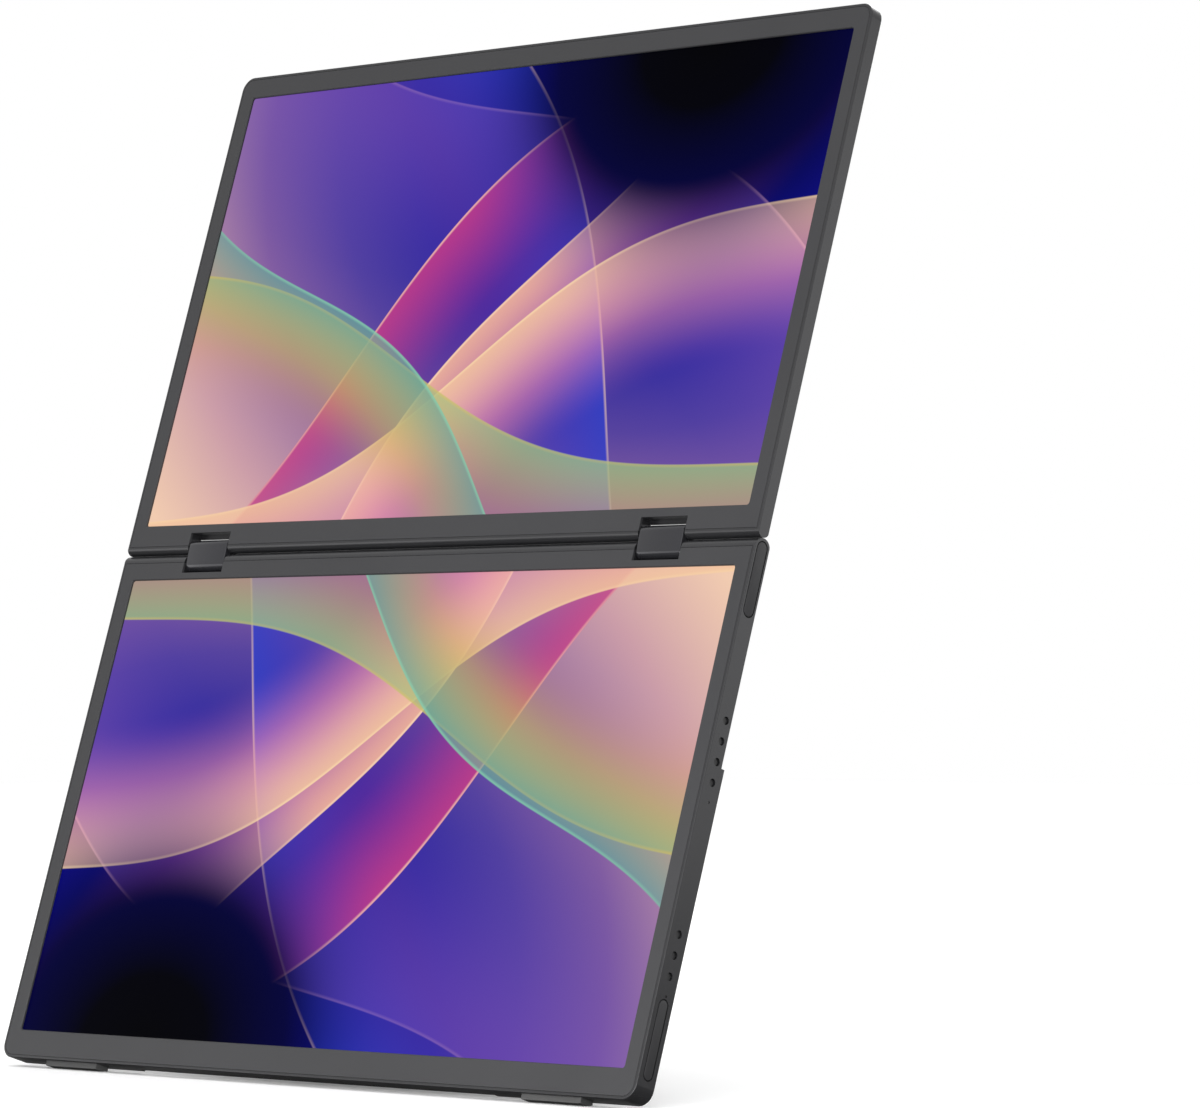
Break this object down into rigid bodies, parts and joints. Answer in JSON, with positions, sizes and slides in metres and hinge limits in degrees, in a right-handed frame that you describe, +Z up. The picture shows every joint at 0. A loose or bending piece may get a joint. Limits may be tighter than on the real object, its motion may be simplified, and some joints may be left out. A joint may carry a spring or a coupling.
{
  "type": "dual portable monitor",
  "caption": "Two thin screens stacked and joined by a pair of double-pivot hinges, standing tilted on a fold-out plate, with side keys, sockets, grilles and rubber feet.",
  "frame": {"origin": "centre of the footprint box on the surface it stands on, with the stand open", "axes": "+Z up, -Y the way the screens face, +X to the right as seen from the front"},
  "size_m": [0.3604, 0.138, 0.4154],
  "materials": {
    "case_shell": "matte dark grey coat",
    "front_frame": "fine matte",
    "screen_glass": "anti-glare film over the panel",
    "light_guide": "matte white",
    "circuit_board": "green solder mask",
    "flex_film": "amber film",
    "bracket_steel": "brushed",
    "screw_steel": "plated",
    "black_screw": "black oxide",
    "flat_lead": "white ribbon",
    "hinge_link_metal": "satin dark grey",
    "shaft_steel": "ground",
    "cable_jacket": "matte black jacket",
    "foot_rubber": "matte rubber",
    "insert_plastic": "matte",
    "socket_metal": "plated",
    "socket_plastic": "black",
    "lens_plastic": "clear",
    "speaker_plastic": "black",
    "mesh_metal": "black mesh",
    "stand_plate": "matte dark grey coat",
    "key_plastic": "fine matte"
  },
  "bodies": {
    "lower_panel": {"lower_back_cover": "case_shell", "lower_bezel": "front_frame", "lower_lcd_cell": "screen_glass", "lower_backlight": "light_guide", "lower_display_board": "circuit_board", "lower_display_flex": "flex_film", "lower_hinge_brackets": "bracket_steel", "lower_bracket_screws": "screw_steel", "stiffener": "bracket_steel", "cover_screws": "black_screw", "rubber_feet": "foot_rubber", "edge_pads": "foot_rubber", "side_covers": "insert_plastic", "stand_clutches": "shaft_steel", "main_board": "circuit_board", "board_shield": "socket_metal", "board_screws": "screw_steel", "usb_c_shells": "socket_metal", "usb_c_tongues": "socket_plastic", "mini_hdmi_shell": "socket_metal", "mini_hdmi_tongue": "socket_plastic", "lower_display_lead": "flat_lead", "button_board": "circuit_board", "button_switches": "socket_plastic", "button_ribbon": "flat_lead", "led_lenses": "lens_plastic", "speakers": "speaker_plastic", "speaker_meshes": "mesh_metal"},
    "hinge_links": {"hinge_link_left": "hinge_link_metal", "hinge_link_right": "hinge_link_metal", "upper_hinge_shafts": "shaft_steel", "lower_hinge_shafts": "shaft_steel", "upper_hinge_clips": "screw_steel", "lower_hinge_clips": "screw_steel", "hinge_cable": "cable_jacket"},
    "upper_panel": {"upper_back_cover": "case_shell", "upper_bezel": "front_frame", "upper_lcd_cell": "screen_glass", "upper_backlight": "light_guide", "upper_display_board": "circuit_board", "upper_display_flex": "flex_film", "upper_hinge_brackets": "bracket_steel", "upper_bracket_screws": "screw_steel", "upper_display_lead": "flat_lead"},
    "stand": {"kickstand": "stand_plate", "stand_pins": "shaft_steel", "stand_edge_pad": "foot_rubber"},
    "key_1": {"side_button_1": "key_plastic"},
    "key_2": {"side_button_2": "key_plastic"},
    "key_3": {"side_button_3": "key_plastic"},
    "key_4": {"side_button_4": "key_plastic"},
    "key_5": {"side_button_5": "key_plastic"},
    "key_6": {"side_button_6": "key_plastic"},
    "key_7": {"side_button_7": "key_plastic"}
  },
  "joints": [
    {"name": "lower_hinge_axis", "type": "hinge", "parent": "lower_panel", "child": "hinge_links", "pos_m": [0, 0, 0.20515], "axis": [1, 0, 0], "range_deg": [-60, 90]},
    {"name": "upper_hinge_axis", "type": "hinge", "parent": "hinge_links", "child": "upper_panel", "pos_m": [0, 0.00114, 0.21229], "axis": [1, 0, 0], "range_deg": [-60, 90]},
    {"name": "stand_hinge", "type": "hinge", "parent": "lower_panel", "child": "stand", "pos_m": [0, -0.02387, 0.11571], "axis": [1, 0, 0], "range_deg": [-35.23, 54.77]},
    {"name": "key_1_press", "type": "slide", "parent": "lower_panel", "child": "key_1", "axis": [-1, 0, 0], "range_m": [0, 0.00035], "stiffness_N_per_m": 3000, "springref_m": -0.0002},
    {"name": "key_2_press", "type": "slide", "parent": "lower_panel", "child": "key_2", "axis": [-1, 0, 0], "range_m": [0, 0.00035], "stiffness_N_per_m": 3000, "springref_m": -0.0002},
    {"name": "key_3_press", "type": "slide", "parent": "lower_panel", "child": "key_3", "axis": [-1, 0, 0], "range_m": [0, 0.00035], "stiffness_N_per_m": 3000, "springref_m": -0.0002},
    {"name": "key_4_press", "type": "slide", "parent": "lower_panel", "child": "key_4", "axis": [-1, 0, 0], "range_m": [0, 0.00035], "stiffness_N_per_m": 3000, "springref_m": -0.0002},
    {"name": "key_5_press", "type": "slide", "parent": "lower_panel", "child": "key_5", "axis": [-1, 0, 0], "range_m": [0, 0.00035], "stiffness_N_per_m": 3000, "springref_m": -0.0002},
    {"name": "key_6_press", "type": "slide", "parent": "lower_panel", "child": "key_6", "axis": [-1, 0, 0], "range_m": [0, 0.00035], "stiffness_N_per_m": 3000, "springref_m": -0.0002},
    {"name": "key_7_press", "type": "slide", "parent": "lower_panel", "child": "key_7", "axis": [-1, 0, 0], "range_m": [0, 0.00035], "stiffness_N_per_m": 3000, "springref_m": -0.0002}
  ]
}
